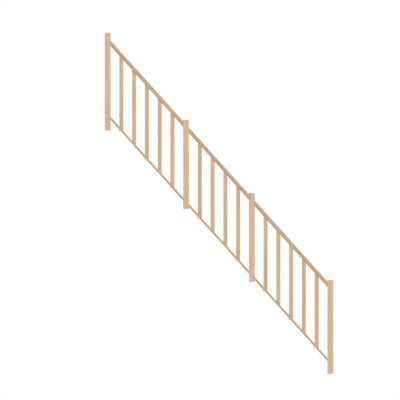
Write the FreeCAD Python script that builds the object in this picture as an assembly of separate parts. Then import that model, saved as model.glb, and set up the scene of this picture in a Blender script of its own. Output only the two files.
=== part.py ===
# Three-bay stair balustrade in square beech: four posts, raked handrails and base rails,
# and balusters that stand in ploughed grooves, with fillets closing the grooves between them.
# Millimetres. +X runs down the stair, +Y through the panel, +Z up.
# The origin is the middle of the bottom newel post's foot.

import FreeCAD
import Part
import math
import os

# The stair that the panel follows: its pitch line touches the front edge of every step
RISE = 200.0                     # one step up
GOING = 180.0                    # one step along
HANDRAIL_HEIGHT = 900.0          # handrail's top above the pitch line, measured plumb
BASE_RAIL_LIFT = 21.0            # base rail's underside above the pitch line, measured plumb

# Posts
POST_SIDE = 64.0
POST_ARRIS = 3.0                 # radius of the eased long edges
POST_TOP_CHAMFER = 4.0
POST_HEAD = 50.0                 # post's top above the handrail's top line, at the post's middle
TOP_NEWEL_DROP = 149.0           # foot below the base rail's underside, at the post's middle
MIDDLE_POST_DROP = 54.0
BOTTOM_NEWEL_DROP = 108.0

# Balusters
BALUSTER_SIDE = 44.0
BALUSTER_ARRIS = 2.0
CLEAR_GAP = 97.0                 # between neighbouring uprights, so that a 100 mm ball can't pass
UPPER_BALUSTERS = 5
MIDDLE_BALUSTERS = 4
LOWER_BALUSTERS = 5

# Rails: depths are square to the slope
HANDRAIL_WIDTH = 56.0
HANDRAIL_DEPTH = 42.0
HANDRAIL_CROWN_RADIUS = 60.0     # the gently rounded top
HANDRAIL_SHOULDER_RADIUS = 12.0  # between the top and the sides
HANDRAIL_ARRIS = 3.0             # along the underside
BASE_RAIL_WIDTH = 56.0
BASE_RAIL_DEPTH = 25.0
BASE_RAIL_ARRIS = 3.0

# Groove in each rail, as wide as a baluster, and the fillets that close it between the balusters
GROOVE_DEPTH = 8.0
FILLET_THICKNESS = 7.0           # a little less than the groove, which leaves a shadow line

# Level tenons on the rails' plumb ends, which enter mortises in the posts
TENON_LENGTH = 20.0
TENON_WIDTH = 18.0
TENON_SHOULDER = 4.0             # left above and below the tenon
JOINT_PLAY = 0.2                 # around balusters' ends, tenons and fillets

GROOVE_WIDTH = BALUSTER_SIDE + 2 * JOINT_PLAY
SLOPE = RISE / GOING
PITCH = math.atan(SLOPE)
TOLERANCE = 1e-6


def plumb(depth):
    """Vertical measure of a depth that is square to the slope."""
    return depth / math.cos(PITCH)


# Heights of the raked planes above the pitch line, measured plumb
BASE_RAIL_TOP = BASE_RAIL_LIFT + plumb(BASE_RAIL_DEPTH)
BASE_RAIL_GROOVE_FLOOR = BASE_RAIL_TOP - plumb(GROOVE_DEPTH)
HANDRAIL_UNDERSIDE = HANDRAIL_HEIGHT - plumb(HANDRAIL_DEPTH)
HANDRAIL_GROOVE_FLOOR = HANDRAIL_UNDERSIDE + plumb(GROOVE_DEPTH)

# What each groove leaves whole of its rail, which carries the tenon
BASE_RAIL_CORE = (BASE_RAIL_LIFT, BASE_RAIL_GROOVE_FLOOR)
HANDRAIL_CORE = (HANDRAIL_GROOVE_FLOOR, HANDRAIL_HEIGHT)


def pitch_line(x):
    """Height of the stair's pitch line at a place along the panel."""
    return BOTTOM_NEWEL_DROP - BASE_RAIL_LIFT - SLOPE * x


def bay_length(balusters):
    """Middle to middle of the two posts that hold a bay."""
    return POST_SIDE + balusters * BALUSTER_SIDE + (balusters + 1) * CLEAR_GAP


def centred_box(length, width, height, x, z):
    """Box of that length along X, centred on x and on the panel's middle plane, standing on z."""
    return Part.makeBox(length, width, height, FreeCAD.Vector(x - length / 2, -width / 2, z))


def ease_edges(solid, direction, radius, keep=lambda edge: True):
    """Rounds the straight edges that run along a direction."""
    axis = FreeCAD.Vector(direction)
    edges = [
        edge
        for edge in solid.Edges
        if isinstance(edge.Curve, Part.Line)
        and edge.Curve.Direction.cross(axis).Length < TOLERANCE
        and keep(edge)
    ]
    return solid.makeFillet(radius, edges)


def raked_block(x_start, x_end, low, high, width):
    """Block with plumb ends, whose underside and top follow the pitch line at those heights above it."""
    corners = [
        FreeCAD.Vector(x, -width / 2, pitch_line(x) + height)
        for x, height in ((x_start, low), (x_end, low), (x_end, high), (x_start, high), (x_start, low))
    ]
    return Part.Face(Part.makePolygon(corners)).extrude(FreeCAD.Vector(0, width, 0))


def tenon(face_x, inward, core, play=0.0):
    """Tenon from a rail's end into the post behind face_x, where inward is its sign along X.

    With play, it is the mortise that takes that tenon.
    """
    low, high = core
    length = TENON_LENGTH + play
    foot = pitch_line(face_x) + low + TENON_SHOULDER - play
    height = high - low - 2 * TENON_SHOULDER + 2 * play
    return centred_box(length, TENON_WIDTH + 2 * play, height, face_x + inward * length / 2, foot)


def post(x, drop, rail_sides):
    """Square post with eased edges, chamfered round its top and mortised on the sides that take rails."""
    foot = pitch_line(x) + BASE_RAIL_LIFT - drop
    top = pitch_line(x) + HANDRAIL_HEIGHT + POST_HEAD
    shaft = ease_edges(centred_box(POST_SIDE, POST_SIDE, top - foot, x, foot), (0, 0, 1), POST_ARRIS)
    shoulder = top - POST_TOP_CHAMFER
    squares = [
        Part.makePlane(side, side, FreeCAD.Vector(x - side / 2, -side / 2, z)).OuterWire
        for side, z in ((POST_SIDE, shoulder), (POST_SIDE - 2 * POST_TOP_CHAMFER, top))
    ]
    cap = Part.makeLoft(squares, True, True)
    chamfered = centred_box(POST_SIDE, POST_SIDE, shoulder - foot, x, foot).fuse(cap)
    mortises = [
        tenon(x + side * POST_SIDE / 2, -side, core, JOINT_PLAY)
        for side in rail_sides
        for core in (BASE_RAIL_CORE, HANDRAIL_CORE)
    ]
    return shaft.common(chamfered).removeSplitter().cut(mortises)


def baluster(x):
    """Square baluster cut to the slope at both ends, which stand in the rails' grooves."""
    left = x - BALUSTER_SIDE / 2
    right = x + BALUSTER_SIDE / 2
    foot = pitch_line(right)
    reach = HANDRAIL_HEIGHT + SLOPE * BALUSTER_SIDE
    blank = ease_edges(centred_box(BALUSTER_SIDE, BALUSTER_SIDE, reach, x, foot), (0, 0, 1), BALUSTER_ARRIS)
    clearance = plumb(JOINT_PLAY)
    between_grooves = raked_block(
        left,
        right,
        BASE_RAIL_GROOVE_FLOOR + clearance,
        HANDRAIL_GROOVE_FLOOR - clearance,
        BALUSTER_SIDE,
    )
    return blank.common(between_grooves)


def handrail_blank(length):
    """Handrail lying along X with its underside on z = 0: flat sides, round shoulders and a crowned top."""
    half = HANDRAIL_WIDTH / 2
    crown_z = HANDRAIL_DEPTH - HANDRAIL_CROWN_RADIUS
    shoulder_y = half - HANDRAIL_SHOULDER_RADIUS
    centres_apart = HANDRAIL_CROWN_RADIUS - HANDRAIL_SHOULDER_RADIUS
    shoulder_z = crown_z + math.sqrt(centres_apart**2 - shoulder_y**2)
    meet = math.atan2(shoulder_y, shoulder_z - crown_z)

    def on_crown(angle):
        return FreeCAD.Vector(
            0,
            HANDRAIL_CROWN_RADIUS * math.sin(angle),
            crown_z + HANDRAIL_CROWN_RADIUS * math.cos(angle),
        )

    def on_shoulder(angle, side):
        return FreeCAD.Vector(
            0,
            side * (shoulder_y + HANDRAIL_SHOULDER_RADIUS * math.sin(angle)),
            shoulder_z + HANDRAIL_SHOULDER_RADIUS * math.cos(angle),
        )

    square = math.pi / 2
    halfway = (meet + square) / 2
    right_foot = FreeCAD.Vector(0, half, 0)
    left_foot = FreeCAD.Vector(0, -half, 0)
    outline = [
        Part.LineSegment(left_foot, right_foot),
        Part.LineSegment(right_foot, on_shoulder(square, 1)),
        Part.Arc(on_shoulder(square, 1), on_shoulder(halfway, 1), on_crown(meet)),
        Part.Arc(on_crown(meet), on_crown(0), on_crown(-meet)),
        Part.Arc(on_crown(-meet), on_shoulder(halfway, -1), on_shoulder(square, -1)),
        Part.LineSegment(on_shoulder(square, -1), left_foot),
    ]
    profile = Part.Face(Part.Wire([curve.toShape() for curve in outline]))
    bar = profile.extrude(FreeCAD.Vector(length, 0, 0))
    return ease_edges(bar, (1, 0, 0), HANDRAIL_ARRIS, lambda edge: abs(edge.Vertexes[0].Z) < TOLERANCE)


def base_rail_blank(length):
    """Flat base rail lying along X with its underside on z = 0 and all long edges eased."""
    bar = centred_box(length, BASE_RAIL_WIDTH, BASE_RAIL_DEPTH, length / 2, 0)
    return ease_edges(bar, (1, 0, 0), BASE_RAIL_ARRIS)


def raked_rail(make_blank, depth, underside, groove, core, x_start, x_end):
    """Rail of one bay: laid on the slope, cut plumb at the posts' faces, ploughed and tenoned.

    The heights are above the pitch line; groove is the span that its cut opens.
    """
    lead = depth * SLOPE + depth
    blank = make_blank(plumb(x_end - x_start) + 2 * lead)
    blank.translate(FreeCAD.Vector(-lead, 0, 0))
    blank.rotate(FreeCAD.Vector(), FreeCAD.Vector(0, 1, 0), math.degrees(PITCH))
    blank.translate(FreeCAD.Vector(x_start, 0, pitch_line(x_start) + underside))
    top = underside + plumb(depth)
    between_posts = raked_block(x_start, x_end, underside - depth, top + depth, 2 * POST_SIDE)
    rail = blank.common(between_posts).cut(raked_block(x_start, x_end, *groove, GROOVE_WIDTH))
    return rail.multiFuse([tenon(x_start, -1, core), tenon(x_end, 1, core)])


def fillets(gaps, low, high):
    """Strips that lie in a groove between neighbouring uprights, at those heights above the pitch line."""
    strips = [
        raked_block(start + JOINT_PLAY, end - JOINT_PLAY, low, high, BALUSTER_SIDE) for start, end in gaps
    ]
    return Part.makeCompound(strips)


def bay(name, x_start, balusters):
    """All pieces between two posts, by name; x_start is the uphill post's middle."""
    first_face = x_start + POST_SIDE / 2
    last_face = x_start + bay_length(balusters) - POST_SIDE / 2
    step = BALUSTER_SIDE + CLEAR_GAP
    middles = [first_face + CLEAR_GAP + BALUSTER_SIDE / 2 + step * i for i in range(balusters)]
    gaps = [(first_face + step * i, first_face + step * i + CLEAR_GAP) for i in range(balusters + 1)]
    fillet = plumb(FILLET_THICKNESS)
    pieces = {
        f"{name}_handrail": raked_rail(
            handrail_blank,
            HANDRAIL_DEPTH,
            HANDRAIL_UNDERSIDE,
            (BASE_RAIL_TOP, HANDRAIL_GROOVE_FLOOR),
            HANDRAIL_CORE,
            first_face,
            last_face,
        ),
        f"{name}_base_rail": raked_rail(
            base_rail_blank,
            BASE_RAIL_DEPTH,
            BASE_RAIL_LIFT,
            (BASE_RAIL_GROOVE_FLOOR, HANDRAIL_UNDERSIDE),
            BASE_RAIL_CORE,
            first_face,
            last_face,
        ),
        f"{name}_handrail_fillets": fillets(gaps, HANDRAIL_GROOVE_FLOOR - fillet, HANDRAIL_GROOVE_FLOOR),
        f"{name}_base_rail_fillets": fillets(gaps, BASE_RAIL_GROOVE_FLOOR, BASE_RAIL_GROOVE_FLOOR + fillet),
    }
    for number, x in enumerate(middles, start=1):
        pieces[f"{name}_baluster_{number}"] = baluster(x)
    return pieces


# Middles of the posts, worked out uphill from the origin
lower_post_x = -bay_length(LOWER_BALUSTERS)
upper_post_x = lower_post_x - bay_length(MIDDLE_BALUSTERS)
top_newel_x = upper_post_x - bay_length(UPPER_BALUSTERS)
UPHILL = -1
DOWNHILL = 1

nodes = {
    "top_newel_post": post(top_newel_x, TOP_NEWEL_DROP, [DOWNHILL]),
    "upper_post": post(upper_post_x, MIDDLE_POST_DROP, [UPHILL, DOWNHILL]),
    "lower_post": post(lower_post_x, MIDDLE_POST_DROP, [UPHILL, DOWNHILL]),
    "bottom_newel_post": post(0.0, BOTTOM_NEWEL_DROP, [UPHILL]),
    **bay("upper", top_newel_x, UPPER_BALUSTERS),
    **bay("middle", upper_post_x, MIDDLE_BALUSTERS),
    **bay("lower", lower_post_x, LOWER_BALUSTERS),
}

os.makedirs("parts", exist_ok=True)
for node, shape in nodes.items():
    shape.exportStep(f"parts/{node}.step")
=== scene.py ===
import math

import bpy
import numpy as np
from mathutils import Euler, Matrix, Vector


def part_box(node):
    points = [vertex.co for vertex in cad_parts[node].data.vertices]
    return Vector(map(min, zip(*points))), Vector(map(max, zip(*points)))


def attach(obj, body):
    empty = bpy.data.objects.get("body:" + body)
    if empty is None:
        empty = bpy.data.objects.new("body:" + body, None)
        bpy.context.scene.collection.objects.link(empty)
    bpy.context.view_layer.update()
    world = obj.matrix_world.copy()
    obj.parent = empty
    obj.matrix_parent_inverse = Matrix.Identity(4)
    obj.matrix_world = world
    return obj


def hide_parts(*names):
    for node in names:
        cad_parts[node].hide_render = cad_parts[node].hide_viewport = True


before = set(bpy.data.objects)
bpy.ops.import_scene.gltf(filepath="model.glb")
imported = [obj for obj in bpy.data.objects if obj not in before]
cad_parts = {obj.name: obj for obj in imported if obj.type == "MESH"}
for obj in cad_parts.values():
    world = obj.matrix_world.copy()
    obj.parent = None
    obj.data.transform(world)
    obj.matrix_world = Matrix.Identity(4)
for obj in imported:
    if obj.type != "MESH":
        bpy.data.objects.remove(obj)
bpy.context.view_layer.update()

# Posts: four squares of planed beech with hand-eased edges and a small chamfer round the top.
# Each is sawn to one side of the tree's heart, so that its growth rings run along the faces
# and show as arcs on the cut ends. They are rubbed down and finished with clear satin oil.
POSTS = ("top_newel_post", "upper_post", "lower_post", "bottom_newel_post")
POST_PALE, POST_DEEP = "#ddbd9d", "#caa784"

# The beech that every timber piece is sawn from, in the tree's own colours and sizes
RUBBED_EDGE, CUT_END = "#e8ccb0", "#a17a57"     # thinner oil on the edges, and end grain that drinks more
RAY_DASH, RAY_FLECK = "#8f6a4a", "#b8946f"      # the tree's rays, seen end on and seen flat
RUBBED_SHARE, CUT_SHARE, RAY_SHARE = 0.25, 0.55, 0.42       # the most that shows of those colours
OIL_ROUGHNESS = (0.42, 0.56)    # of the satin oil, on the palest and on the deepest timber
HEART_AWAY = (0.07, 0.14)       # least and most from the tree's heart to a piece's middle
HEART_LEAN = 0.02               # most that the heart leans from a piece's length, in radians
TRUNK_LENGTH = 3.0              # how much of the trunk the pieces come from
STREAK_MM = 24.0                # width of the tone streaks, which are what shows from a few metres
RING_MM = (5.0, 9.0)            # least and most between rings, drawn wider than real ones so that they show
RING_WAVER = 8.0                # how much the rings stray from true circles
RING_SHARE = 0.5                # how much the rings add to the streaks
FIGURE_STRETCH = 25.0           # how much longer than wide the streaks and the rings' waves are
FIGURE_SPAN = (0.35, 0.95)      # sum of streaks and rings where the timber is palest, and deepest
RAY_MM = (16.0, 3.2, 12.0)      # room of one ray: out from the heart, round it and up; real ones are a third
RAY_SPAN = (0.08, 0.24)         # shares of that room, from a ray's middle, between which it fades
FACING_SPAN = (0.6, 0.95)       # between these a face comes to count as square to an axis, which is 1
EDGE_MM = (1.5, 5.0)            # from here to there the rubbed edge fades into the face
RELIEF_MM = 0.3                 # depth of the grain under the oil, drawn deeper than the real one
UPRIGHT = (0.0, 0.0, 0.0)       # turn of the pattern, whose Z is along the grain, on what stands plumb
WAVE_PERIOD = 2 * math.pi / 20  # of a wave texture at a scale of 1
MIX_SHARE, MIX_FROM, MIX_TO, MIXED = 0, 6, 7, 2     # sockets of a colour mix, several of which share a name
planks = np.random.default_rng(seed=13)             # draws where in the tree each piece is sawn


def linear(hex_colour):
    """Linear RGBA of an sRGB hex colour."""
    srgb = np.array([int(hex_colour[i : i + 2], 16) for i in (1, 3, 5)]) / 255
    rgb = np.where(srgb <= 0.04045, srgb / 12.92, ((srgb + 0.055) / 1.055) ** 2.4)
    return (*rgb, 1.0)


def add(graph, kind, sockets=None, links=None, **settings):
    """Adds one node: settings are its own, sockets its input values, links the outputs that feed it."""
    node = graph.nodes.new(kind)
    for name, value in settings.items():
        setattr(node, name, value)
    for name, value in (sockets or {}).items():
        node.inputs[name].default_value = value
    for name, output in (links or {}).items():
        graph.links.new(output, node.inputs[name])
    return node


def empty_material(name):
    """A material with no nodes yet, and the graph that takes them."""
    material = bpy.data.materials.new(name)
    material.use_nodes = True
    material.node_tree.nodes.clear()
    return material, material.node_tree


def sawn_from(middle, turn):
    """Draws where in the tree a piece is sawn: a point of the heart, the tree's turn and its ring spacing.

    The tree's own Z runs up the heart, and its X goes out from there through the piece's middle.
    """
    away = planks.uniform(*HEART_AWAY)
    side = planks.uniform(0, 2 * math.pi)
    lean = planks.uniform(-HEART_LEAN, HEART_LEAN, 2)
    up = planks.uniform(0, TRUNK_LENGTH)
    ring_mm = planks.uniform(*RING_MM)
    axes = Euler(turn).to_matrix() @ Matrix.Rotation(side, 3, "Z") @ Euler((*lean, 0)).to_matrix()
    heart = Vector(middle) - axes @ Vector((away, 0, up))
    return heart, axes.to_euler(), ring_mm


def timber_tone(graph, in_tree, ring_mm):
    """Tone from 0, pale, to 1, deep, of the sum streaks + RING_SHARE * streaks * rings.

    Both are drawn out along the heart.
    """
    drawn_out = add(
        graph,
        "ShaderNodeMapping",
        {"Scale": (1, 1, 1 / FIGURE_STRETCH)},
        {"Vector": in_tree},
    ).outputs[0]
    streaks = add(
        graph,
        "ShaderNodeTexNoise",
        {"Scale": 1000 / STREAK_MM, "Detail": 3.0, "Roughness": 0.55},
        {"Vector": drawn_out},
    ).outputs[0]
    rings = add(
        graph,
        "ShaderNodeTexWave",
        {
            "Scale": WAVE_PERIOD * 1000 / ring_mm,
            "Distortion": RING_WAVER,
            "Detail": 2.0,
            "Detail Scale": 0.6,
        },
        {"Vector": drawn_out},
        wave_type="RINGS",
        rings_direction="Z",
        wave_profile="SAW",
    ).outputs["Fac"]
    ring_share = add(graph, "ShaderNodeMath", {1: RING_SHARE}, {0: streaks}, operation="MULTIPLY").outputs[0]
    figure = add(
        graph, "ShaderNodeMath", links={0: rings, 1: ring_share, 2: streaks}, operation="MULTIPLY_ADD"
    ).outputs[0]
    palest, deepest = FIGURE_SPAN
    return add(
        graph, "ShaderNodeMapRange", {"From Min": palest, "From Max": deepest}, {"Value": figure}
    ).outputs[0]


def ray_marks(graph, in_tree, looks_y):
    """How much of a ray shows, and its colour: a dark dash seen end on, or a softer fleck seen flat."""
    ray_room = add(
        graph,
        "ShaderNodeMapping",
        {"Scale": [1000 / size for size in RAY_MM]},
        {"Vector": in_tree},
    ).outputs[0]
    from_ray = add(graph, "ShaderNodeTexVoronoi", {"Scale": 1.0}, {"Vector": ray_room}).outputs["Distance"]
    fades, ends = RAY_SPAN
    share = add(
        graph,
        "ShaderNodeMapRange",
        {"From Min": fades, "From Max": ends, "To Min": RAY_SHARE, "To Max": 0.0},
        {"Value": from_ray},
    ).outputs[0]
    starts, complete = FACING_SPAN
    seen_flat = add(
        graph, "ShaderNodeMapRange", {"From Min": starts, "From Max": complete}, {"Value": looks_y}
    ).outputs[0]
    colour = add(
        graph,
        "ShaderNodeMix",
        {MIX_FROM: linear(RAY_DASH), MIX_TO: linear(RAY_FLECK)},
        {MIX_SHARE: seen_flat},
        data_type="RGBA",
    ).outputs[MIXED]
    return share, colour


def rubbed_edges(graph, in_piece, half):
    """How much of the rubbed colour shows, which fades with max(half x - |x|, half y - |y|).

    On a face one of those two is nothing, and the other is the distance to its nearest edge.
    """
    offset = add(graph, "ShaderNodeVectorMath", links={0: in_piece}, operation="ABSOLUTE").outputs[0]
    from_sides = add(
        graph, "ShaderNodeVectorMath", {0: (*half, 0.0)}, {1: offset}, operation="SUBTRACT"
    ).outputs[0]
    from_x, from_y, _ = add(graph, "ShaderNodeSeparateXYZ", links={0: from_sides}).outputs
    from_edge = add(graph, "ShaderNodeMath", links={0: from_x, 1: from_y}, operation="MAXIMUM").outputs[0]
    fades, ends = EDGE_MM
    return add(
        graph,
        "ShaderNodeMapRange",
        {"From Min": fades / 1000, "From Max": ends / 1000, "To Min": RUBBED_SHARE, "To Max": 0.0},
        {"Value": from_edge},
    ).outputs[0]


def oiled_beech(name, pale, deep, middle, turn, half):
    """Planed beech under clear satin oil: even and pinkish, with soft rings and short dark ray dashes.

    middle is a point on the piece's axis, turn lays the pattern's Z along its grain, and half is half
    its section. A face that looks along the tree's X shows rings and dashes, one that looks along
    its Y shows broader, softer flecks, and one that looks along its Z is a cut end.
    """
    material, graph = empty_material(name)
    heart, tree_turn, ring_mm = sawn_from(middle, turn)
    place = add(graph, "ShaderNodeTexCoord").outputs
    in_piece = add(
        graph,
        "ShaderNodeMapping",
        {"Location": middle, "Rotation": turn},
        {"Vector": place["Object"]},
        vector_type="TEXTURE",
    ).outputs[0]
    in_tree = add(
        graph,
        "ShaderNodeMapping",
        {"Location": heart, "Rotation": tree_turn},
        {"Vector": place["Object"]},
        vector_type="TEXTURE",
    ).outputs[0]
    looks_along = add(
        graph,
        "ShaderNodeVectorRotate",
        {"Rotation": tree_turn},
        {"Vector": place["Normal"]},
        rotation_type="EULER_XYZ",
        invert=True,
    ).outputs[0]
    looks = add(graph, "ShaderNodeVectorMath", links={0: looks_along}, operation="ABSOLUTE").outputs[0]
    _, looks_y, looks_z = add(graph, "ShaderNodeSeparateXYZ", links={0: looks}).outputs

    tone = timber_tone(graph, in_tree, ring_mm)
    ray_share, ray_colour = ray_marks(graph, in_tree, looks_y)
    edge_share = rubbed_edges(graph, in_piece, half)
    starts, complete = FACING_SPAN
    cut_share = add(
        graph,
        "ShaderNodeMapRange",
        {"From Min": starts, "From Max": complete, "To Max": CUT_SHARE},
        {"Value": looks_z},
    ).outputs[0]

    colour = add(
        graph,
        "ShaderNodeMix",
        {MIX_FROM: linear(pale), MIX_TO: linear(deep)},
        {MIX_SHARE: tone},
        data_type="RGBA",
    ).outputs[MIXED]
    colour = add(
        graph,
        "ShaderNodeMix",
        links={MIX_SHARE: ray_share, MIX_FROM: colour, MIX_TO: ray_colour},
        data_type="RGBA",
    ).outputs[MIXED]
    for share, tint in ((edge_share, RUBBED_EDGE), (cut_share, CUT_END)):
        colour = add(
            graph,
            "ShaderNodeMix",
            {MIX_TO: linear(tint)},
            {MIX_SHARE: share, MIX_FROM: colour},
            data_type="RGBA",
        ).outputs[MIXED]

    on_pale, on_deep = OIL_ROUGHNESS
    roughness = add(
        graph, "ShaderNodeMapRange", {"To Min": on_pale, "To Max": on_deep}, {"Value": tone}
    ).outputs[0]
    bump = add(
        graph, "ShaderNodeBump", {"Strength": 0.3, "Distance": RELIEF_MM / 1000}, {"Height": tone}
    ).outputs[0]
    shader = add(
        graph,
        "ShaderNodeBsdfPrincipled",
        {"IOR": 1.5, "Specular IOR Level": 0.4},
        {"Base Color": colour, "Roughness": roughness, "Normal": bump},
    ).outputs[0]
    add(graph, "ShaderNodeOutputMaterial", links={"Surface": shader})
    return material


def dress(node, finish):
    """Gives one of the frame's nodes its finish."""
    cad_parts[node].material_slots[0].material = finish


def dress_upright(node, pale, deep):
    """Finishes an upright node, whose box gives its section."""
    low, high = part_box(node)
    half = ((high - low) / 2).xy
    dress(node, oiled_beech(f"{node}_beech", pale, deep, (low + high) / 2, UPRIGHT, half))


for post in POSTS:
    dress_upright(post, POST_PALE, POST_DEEP)

# Base rails: flat beech strips laid on the slope, cut plumb at both ends and tenoned into the posts.
# A groove along the top, as wide as a baluster, takes the balusters' feet.
# Their timber is a shade deeper than the posts'.
BASE_RAIL_PALE, BASE_RAIL_DEEP = "#ceae8c", "#b89775"
BAY_POSTS = {
    "upper": ("top_newel_post", "upper_post"),
    "middle": ("upper_post", "lower_post"),
    "lower": ("lower_post", "bottom_newel_post"),
}
top_newel_head, bottom_newel_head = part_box("top_newel_post")[1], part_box("bottom_newel_post")[1]
SLOPE = (top_newel_head.z - bottom_newel_head.z) / (bottom_newel_head.x - top_newel_head.x)
PITCH = math.atan(SLOPE)
RAKED = (0.0, math.pi / 2 + PITCH, 0.0)     # turns the pattern's Z down the slope, and its X square to it


def depth_on_slope(bay, piece):
    """Depth, square to the slope, of a piece that runs between a bay's posts.

    Its box is as high as the piece's plumb depth and its fall from post to post together. The depth
    is a whole millimetre, and a frame's flat facets or a strip's play at its ends make it seem less.
    """
    uphill, downhill = BAY_POSTS[bay]
    fall = (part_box(downhill)[0].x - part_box(uphill)[1].x) * SLOPE
    low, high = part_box(f"{bay}_{piece}")
    return round((high.z - low.z - fall) * math.cos(PITCH), 3)


def raked_beech(bay, piece, pale, deep):
    """Finish for a piece that runs between a bay's posts, in the middle of its node's box."""
    low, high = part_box(f"{bay}_{piece}")
    half = (depth_on_slope(bay, piece) / 2, (high.y - low.y) / 2)
    return oiled_beech(f"{bay}_{piece}_beech", pale, deep, (low + high) / 2, RAKED, half)


for bay in BAY_POSTS:
    dress(f"{bay}_base_rail", raked_beech(bay, "base_rail", BASE_RAIL_PALE, BASE_RAIL_DEEP))

# Balusters: square beech staves with eased edges, cut to the slope at both ends, which stand in the
# rails' grooves. They come from narrower stock than the posts and take the oil a little deeper.
BALUSTER_PALE, BALUSTER_DEEP = "#d7b695", "#c3a07d"
BALUSTERS = {
    bay: sorted(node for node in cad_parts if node.startswith(f"{bay}_baluster_")) for bay in BAY_POSTS
}

for balusters in BALUSTERS.values():
    for baluster in balusters:
        dress_upright(baluster, BALUSTER_PALE, BALUSTER_DEEP)

# Handrails: beech moulded to a crowned top with round shoulders, ploughed underneath for the balusters,
# cut plumb and tenoned into the posts. This moulding is smoother than the frame's, and has its shape.
HANDRAIL_PALE, HANDRAIL_DEEP = "#caaa89", "#b59371"
CROWN_RADIUS, SHOULDER_RADIUS, UNDER_EDGE_RADIUS = 0.060, 0.012, 0.003
CROWN_POINTS, SHOULDER_POINTS, UNDER_EDGE_POINTS = 9, 13, 7     # along each arc, or half of the crown's
GROOVE_DEPTH, GROOVE_PLAY = 0.008, 0.0002       # the play is beside the fillets
HANDRAIL_STATIONS = 33          # plumb sections from post to post
SHARP_EDGE = math.radians(35)   # from here on an edge looks crisp, and below it smooth


def arc(centre, radius, start, end, count):
    """Points round a centre, as (across, up), from one angle to another."""
    turn = np.linspace(start, end, count)
    return np.array(centre) + radius * np.stack([np.cos(turn), np.sin(turn)], axis=1)


def handrail_profile(width, depth, groove_width):
    """Outline square to the slope, as (across, up from the underside), anticlockwise from the groove.

    One half is the groove's wall, the underside, and the arcs of its edge, the shoulder and the
    crown. The shoulder's centre is where it touches both the side and the crown, at
    height crown + sqrt((crown radius - shoulder radius)^2 - across^2). The other half is its mirror.
    """
    shoulder_y = width / 2 - SHOULDER_RADIUS
    crown_z = depth - CROWN_RADIUS
    shoulder_rise = math.sqrt((CROWN_RADIUS - SHOULDER_RADIUS) ** 2 - shoulder_y**2)
    meet = math.atan2(shoulder_rise, shoulder_y)
    groove_wall = np.array([[groove_width / 2, GROOVE_DEPTH], [groove_width / 2, 0.0]])
    under_edge = (width / 2 - UNDER_EDGE_RADIUS, UNDER_EDGE_RADIUS)
    right = np.concatenate(
        [
            groove_wall,
            arc(under_edge, UNDER_EDGE_RADIUS, -math.pi / 2, 0.0, UNDER_EDGE_POINTS),
            arc((shoulder_y, crown_z + shoulder_rise), SHOULDER_RADIUS, 0.0, meet, SHOULDER_POINTS),
            arc((0.0, crown_z), CROWN_RADIUS, meet, math.pi / 2, CROWN_POINTS)[1:],
        ]
    )
    return np.concatenate([right, right[-2::-1] * (-1, 1)])


def new_piece(name, points, faces, material):
    """Puts a worked-out surface into the scene as a piece of the panel."""
    mesh = bpy.data.meshes.new(name)
    mesh.from_pydata(points.reshape(-1, 3).tolist(), [], faces)
    mesh.shade_smooth()
    mesh.set_sharp_from_angle(angle=SHARP_EDGE)
    mesh.materials.append(material)
    piece = bpy.data.objects.new(name, mesh)
    bpy.context.scene.collection.objects.link(piece)
    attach(piece, "root")
    return piece


def plumb_cut_rail(profile, x_start, x_end, underside_at_end, stations):
    """Points and faces of a profile carried down the slope and cut plumb at both ends.

    Every plumb section is the profile with its heights divided by cos(pitch), standing on the
    underside's line, which falls by the slope: z = underside + up / cos(pitch).
    """
    x = np.linspace(x_start, x_end, stations)[:, None]
    y = np.broadcast_to(profile[:, 0], (stations, len(profile)))
    z = underside_at_end + (x_end - x) * SLOPE + profile[:, 1] / math.cos(PITCH)
    points = np.stack([np.broadcast_to(x, y.shape), y, z], axis=2)

    index = np.arange(stations * len(profile)).reshape(stations, len(profile))
    beside = np.roll(index, -1, axis=1)
    sides = np.stack([index[:-1], beside[:-1], beside[1:], index[1:]], axis=2).reshape(-1, 4)
    return points, sides.tolist() + [index[0, ::-1].tolist(), index[-1].tolist()]


for bay, (uphill, downhill) in BAY_POSTS.items():
    node = f"{bay}_handrail"
    low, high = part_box(node)
    groove_width = 2 * (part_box(f"{bay}_handrail_fillets")[1].y + GROOVE_PLAY)
    points, faces = plumb_cut_rail(
        handrail_profile(high.y - low.y, depth_on_slope(bay, "handrail"), groove_width),
        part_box(uphill)[1].x,
        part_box(downhill)[0].x,
        low.z,
        HANDRAIL_STATIONS,
    )
    finish = raked_beech(bay, "handrail", HANDRAIL_PALE, HANDRAIL_DEEP)
    moulding = new_piece(f"{bay}_handrail_moulding", points, faces, finish)
    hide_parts(node)

# Fillets: beech strips glued into the rails' grooves between the balusters, a millimetre shy of
# the surface, which leaves a shadow line. They are offcuts, so a little paler than the rails.
FILLET_PALE, FILLET_DEEP = "#d5b798", "#c09e7e"

for bay in BAY_POSTS:
    for fillets in ("handrail_fillets", "base_rail_fillets"):
        dress(f"{bay}_{fillets}", raked_beech(bay, fillets, FILLET_PALE, FILLET_DEEP))

# Dowels: fluted beech dowels go square up through the base rail into the middle of a baluster's foot,
# at the first and the last baluster of each bay and at its middle one, if it has one.
# Their lower ends stand out below the rail, to be glued into holes in the stair's string.
DOWEL_PALE, DOWEL_DEEP = "#d2b494", "#bd9c7a"
DOWEL_RADIUS = 0.004
DOWEL_STANDS_OUT, DOWEL_IN_RAIL = 0.020, 0.004  # only so much of what is in the rail is made
CHAMFER_LENGTH, CHAMFER_IN = 0.0015, 0.00075
FLUTES, FLUTE_DEPTH = 18, 0.0004
FLUTE_SEGMENTS = 4 * FLUTES     # four points to each flute
SQUARE_TO_SLOPE = (0.0, PITCH, 0.0)         # turns the pattern's Z square to the rails
DOWN_SLOPE = Vector((math.cos(PITCH), 0, -math.sin(PITCH)))
BELOW_RAIL = Vector((-math.sin(PITCH), 0, -math.cos(PITCH)))


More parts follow.
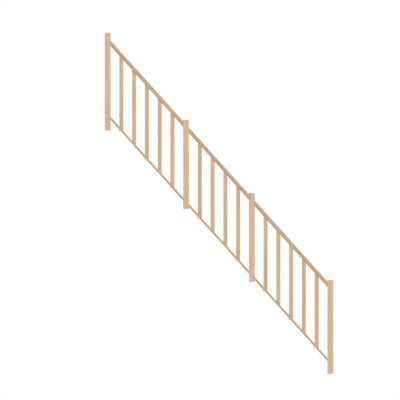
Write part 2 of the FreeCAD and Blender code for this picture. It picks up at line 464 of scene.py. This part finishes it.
def turns(count):
    """Angles of even steps once round a circle."""
    return np.linspace(0, 2 * math.pi, count, endpoint=False)


def turned_heads(places, out, across, rows):
    """Points and faces of small turned pieces, one at each place on a flat face that looks along out.

    A row is its radius at each turn and its height above the face. Rows run from the middle of what
    shows out to the rim and back into the timber, and a point is place + radius round out + height along it.
    """
    radius = np.stack([row_radius for row_radius, _ in rows])
    height = np.array([row_height for _, row_height in rows])
    turn = turns(radius.shape[1])[:, None]
    round_axis = np.cos(turn) * np.array(across) + np.sin(turn) * np.array(out.cross(across))
    shape = radius[:, :, None] * round_axis + height[:, None, None] * np.array(out)
    points = np.array(places)[:, None, None, :] + shape

    index = np.arange(points[..., 0].size).reshape(points.shape[:3])
    beside = np.roll(index, -1, axis=2)
    sides = np.stack([index[:, :-1], index[:, 1:], beside[:, 1:], beside[:, :-1]], axis=3).reshape(-1, 4)
    caps = np.concatenate([index[:, 0], index[:, -1, ::-1]])
    return points, sides.tolist() + caps.tolist()


def below_feet(bay):
    """Where lines square to a bay's base rail, through the middles of its balusters' feet, leave the rail."""
    middles = np.array([(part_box(node)[0].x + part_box(node)[1].x) / 2 for node in BALUSTERS[bay]])
    rail_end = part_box(BAY_POSTS[bay][1])[0].x
    rail_depth = depth_on_slope(bay, "base_rail")
    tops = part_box(f"{bay}_base_rail")[0].z + (rail_end - middles) * SLOPE + rail_depth / math.cos(PITCH)
    feet = np.stack([middles, np.zeros_like(middles), tops], axis=1)
    return feet + rail_depth * np.array(BELOW_RAIL)


def with_dowel(bay):
    """True for the first, the last and the exact middle of a bay's balusters."""
    last = len(BALUSTERS[bay]) - 1
    return np.isin(np.arange(last + 1), (0, last / 2, last))


flutes = 0.5 - 0.5 * np.cos(FLUTES * turns(FLUTE_SEGMENTS))
fluted = DOWEL_RADIUS - FLUTE_DEPTH * flutes
chamfered = np.full(FLUTE_SEGMENTS, DOWEL_RADIUS - CHAMFER_IN)
dowel_rows = [
    (chamfered, DOWEL_STANDS_OUT),
    (fluted, DOWEL_STANDS_OUT - CHAMFER_LENGTH),
    (fluted, -DOWEL_IN_RAIL),
]

for bay in BAY_POSTS:
    places = below_feet(bay)[with_dowel(bay)]
    points, faces = turned_heads(places, BELOW_RAIL, DOWN_SLOPE, dowel_rows)
    half = (DOWEL_RADIUS, DOWEL_RADIUS)
    finish = oiled_beech(f"{bay}_dowel_beech", DOWEL_PALE, DOWEL_DEEP, places[0], SQUARE_TO_SLOPE, half)
    new_piece(f"{bay}_dowels", points, faces, finish)

# Screws: each baluster without a dowel is held by a wood screw, driven square up through the base rail.
# Bright zinc-plated steel with a six-lobed drive; only the flat heads show, from below, a hair proud.
SCREW_COLOUR = "#b8b6b0"
PLATING_MM = 0.8                # real plating spangle is finer, drawn wider so that it shows
PLATING_ROUGHNESS = (0.22, 0.42)
SCREW_RADIUS, SCREW_RISE, SCREW_CONE, SHANK_RADIUS = 0.0045, 0.0005, 0.003, 0.002
SCREW_BEVEL = 0.00025           # from the head's rim in to its flat
DRIVE_RADIUS, DRIVE_DEPTH, DRIVE_TAPER = 0.0019, 0.0004, 0.85
DRIVE_LOBES, DRIVE_LOBE = 6, 0.0003
ROUND_SEGMENTS = 36             # round a screw's head or a plug


def zinc_plated_steel(name):
    """Steel under bright zinc: pale, cool and mirror-like, with a faint cloudy spangle."""
    material, graph = empty_material(name)
    place = add(graph, "ShaderNodeTexCoord").outputs["Object"]
    spangle = add(graph, "ShaderNodeTexNoise", {"Scale": 1000 / PLATING_MM}, {"Vector": place}).outputs[0]
    smoothest, roughest = PLATING_ROUGHNESS
    roughness = add(
        graph, "ShaderNodeMapRange", {"To Min": smoothest, "To Max": roughest}, {"Value": spangle}
    ).outputs[0]
    shader = add(
        graph,
        "ShaderNodeBsdfPrincipled",
        {"Base Color": linear(SCREW_COLOUR), "Metallic": 1.0},
        {"Roughness": roughness},
    ).outputs[0]
    add(graph, "ShaderNodeOutputMaterial", links={"Surface": shader})
    return material


full = np.ones(ROUND_SEGMENTS)
lobes = DRIVE_RADIUS + DRIVE_LOBE * np.cos(DRIVE_LOBES * turns(ROUND_SEGMENTS))
screw_rows = [
    (DRIVE_TAPER * lobes, SCREW_RISE - DRIVE_DEPTH),    # the drive's floor
    (lobes, SCREW_RISE),                                # the drive's mouth
    ((SCREW_RADIUS - SCREW_BEVEL) * full, SCREW_RISE),  # the flat's edge
    (SCREW_RADIUS * full, 0.0),                         # the rim, level with the timber
    (SHANK_RADIUS * full, -SCREW_CONE),                 # the cone's end, at the shank
]
plating = zinc_plated_steel("bright_zinc_plated_steel")

for bay in BAY_POSTS:
    places = below_feet(bay)[~with_dowel(bay)]
    points, faces = turned_heads(places, BELOW_RAIL, DOWN_SLOPE, screw_rows)
    new_piece(f"{bay}_base_rail_screws", points, faces, plating)

# Plugs: turned beech pellets, glued over the long screws that pull the end rails' tenons into the newels.
# They stand a hair proud of the newels' outer faces, and their grain follows the post's.
PLUG_PALE, PLUG_DEEP = "#d9b796", "#c09b78"
PLUG_RADIUS, PLUG_DOME, PLUG_DEPTH = 0.006, 0.0008, 0.002
DOME_SHARES = np.linspace(0.25, 1.0, 6)     # of the plug's radius; its dome falls off as their square
plug_rows = [(PLUG_RADIUS * share * full, PLUG_DOME * (1 - share**2)) for share in DOME_SHARES]
plug_rows.append((PLUG_RADIUS * full, -PLUG_DEPTH))

for newel, bay, side in (("top_newel", "upper", -1), ("bottom_newel", "lower", 1)):
    low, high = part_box(f"{newel}_post")
    face = low.x if side < 0 else high.x
    places = []
    for rail in ("handrail", "base_rail"):
        rail_low, rail_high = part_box(f"{bay}_{rail}")
        half_plumb = depth_on_slope(bay, rail) / math.cos(PITCH) / 2
        rail_middle = rail_high.z - half_plumb if side < 0 else rail_low.z + half_plumb
        places.append((face, 0.0, rail_middle))
    points, faces = turned_heads(places, Vector((side, 0, 0)), Vector((0, 1, 0)), plug_rows)
    half = ((high - low) / 2).xy
    finish = oiled_beech(f"{newel}_plug_beech", PLUG_PALE, PLUG_DEEP, (low + high) / 2, UPRIGHT, half)
    new_piece(f"{newel}_plugs", points, faces, finish)

# Floor: a plain studio floor in matt off-white paint, which takes the panel's shadow.
# It lies a hair below the bottom newel's foot, so that the two don't share a plane,
# and glows a little where it is seen, so that it meets the white behind it.
FLOOR_PAINT, WHITE = "#f4f3f1", "#ffffff"
FLOOR_ROUGHNESS = 0.9
FLOOR_GLOW = 0.10
FLOOR_HALF = 40.0               # half its side
FLOOR_DROP = 0.0005


def seen_directly(graph):
    """1 for what the camera, a reflection or glass shows of a surface, and 0 for the light that it gives."""
    path = add(graph, "ShaderNodeLightPath").outputs
    seen = path["Is Camera Ray"]
    for ray in ("Is Glossy Ray", "Is Transmission Ray"):
        seen = add(graph, "ShaderNodeMath", links={0: seen, 1: path[ray]}, operation="MAXIMUM").outputs[0]
    return seen


corners = np.array([[-1, -1], [1, -1], [1, 1], [-1, 1]]) * FLOOR_HALF
floor_mesh = bpy.data.meshes.new("studio_floor")
floor_mesh.from_pydata(np.column_stack([corners, np.full(4, -FLOOR_DROP)]).tolist(), [], [(0, 1, 2, 3)])
floor = bpy.data.objects.new("studio_floor", floor_mesh)
bpy.context.scene.collection.objects.link(floor)
floor_paint, graph = empty_material("matt_off_white_floor_paint")
glow = add(
    graph, "ShaderNodeMath", {1: FLOOR_GLOW}, {0: seen_directly(graph)}, operation="MULTIPLY"
).outputs[0]
paint = add(
    graph,
    "ShaderNodeBsdfPrincipled",
    {"Base Color": linear(FLOOR_PAINT), "Roughness": FLOOR_ROUGHNESS, "Emission Color": linear(WHITE)},
    {"Emission Strength": glow},
).outputs[0]
add(graph, "ShaderNodeOutputMaterial", links={"Surface": paint})
floor_mesh.materials.append(floor_paint)

# Light: a wide soft lamp in front and above, a weaker one behind, and the light of a pale room.
# What the camera and reflections see of the room is plain white.
ROOM_LIGHT = 0.62
LAMP_SPREAD = math.radians(50)
LAMPS = {                       # direction to each lamp, and its strength
    "soft_front_lamp": (Vector((0.30, -0.80, 0.90)), 1.22),
    "soft_back_lamp": (Vector((-0.60, 0.80, 0.50)), 0.45),
}

for name, (direction, strength) in LAMPS.items():
    lamp = bpy.data.lights.new(name, "SUN")
    lamp.energy = strength
    lamp.angle = LAMP_SPREAD
    lamp_object = bpy.data.objects.new(name, lamp)
    lamp_object.rotation_euler = direction.to_track_quat("Z", "Y").to_euler()
    bpy.context.scene.collection.objects.link(lamp_object)

room = bpy.data.worlds.new("pale_room")
room.use_nodes = True
graph = room.node_tree
graph.nodes.clear()
lit = add(graph, "ShaderNodeBackground", {"Color": linear(WHITE), "Strength": ROOM_LIGHT}).outputs[0]
seen = add(graph, "ShaderNodeBackground", {"Color": linear(WHITE), "Strength": 1.0}).outputs[0]
surroundings = add(
    graph, "ShaderNodeMixShader", links={0: seen_directly(graph), 1: lit, 2: seen}
).outputs[0]
add(graph, "ShaderNodeOutputWorld", links={"Surface": surroundings})
bpy.context.scene.world = room
bpy.context.scene.view_settings.view_transform = "Standard"

# Camera: the photograph is a flat elevation, so the camera looks straight along +Y with no perspective.
# The bottom newel's foot is at the origin, and its place in the photograph sets the frame.
MM_PER_PIXEL = 11.034
FRAME_PIXELS = 400
FOOT_PIXEL = (330.34, 374.10)   # middle of the bottom newel's foot, from the photograph's top left corner
CAMERA_BACK = 8.0

camera = bpy.data.cameras.new("elevation_camera")
camera.type = "ORTHO"
camera.ortho_scale = FRAME_PIXELS * MM_PER_PIXEL / 1000
camera_object = bpy.data.objects.new("elevation_camera", camera)
camera_object.location = (
    (FRAME_PIXELS / 2 - FOOT_PIXEL[0]) * MM_PER_PIXEL / 1000,
    -CAMERA_BACK,
    (FOOT_PIXEL[1] - FRAME_PIXELS / 2) * MM_PER_PIXEL / 1000,
)
camera_object.rotation_euler = (math.pi / 2, 0, 0)
bpy.context.scene.collection.objects.link(camera_object)
bpy.context.scene.camera = camera_object
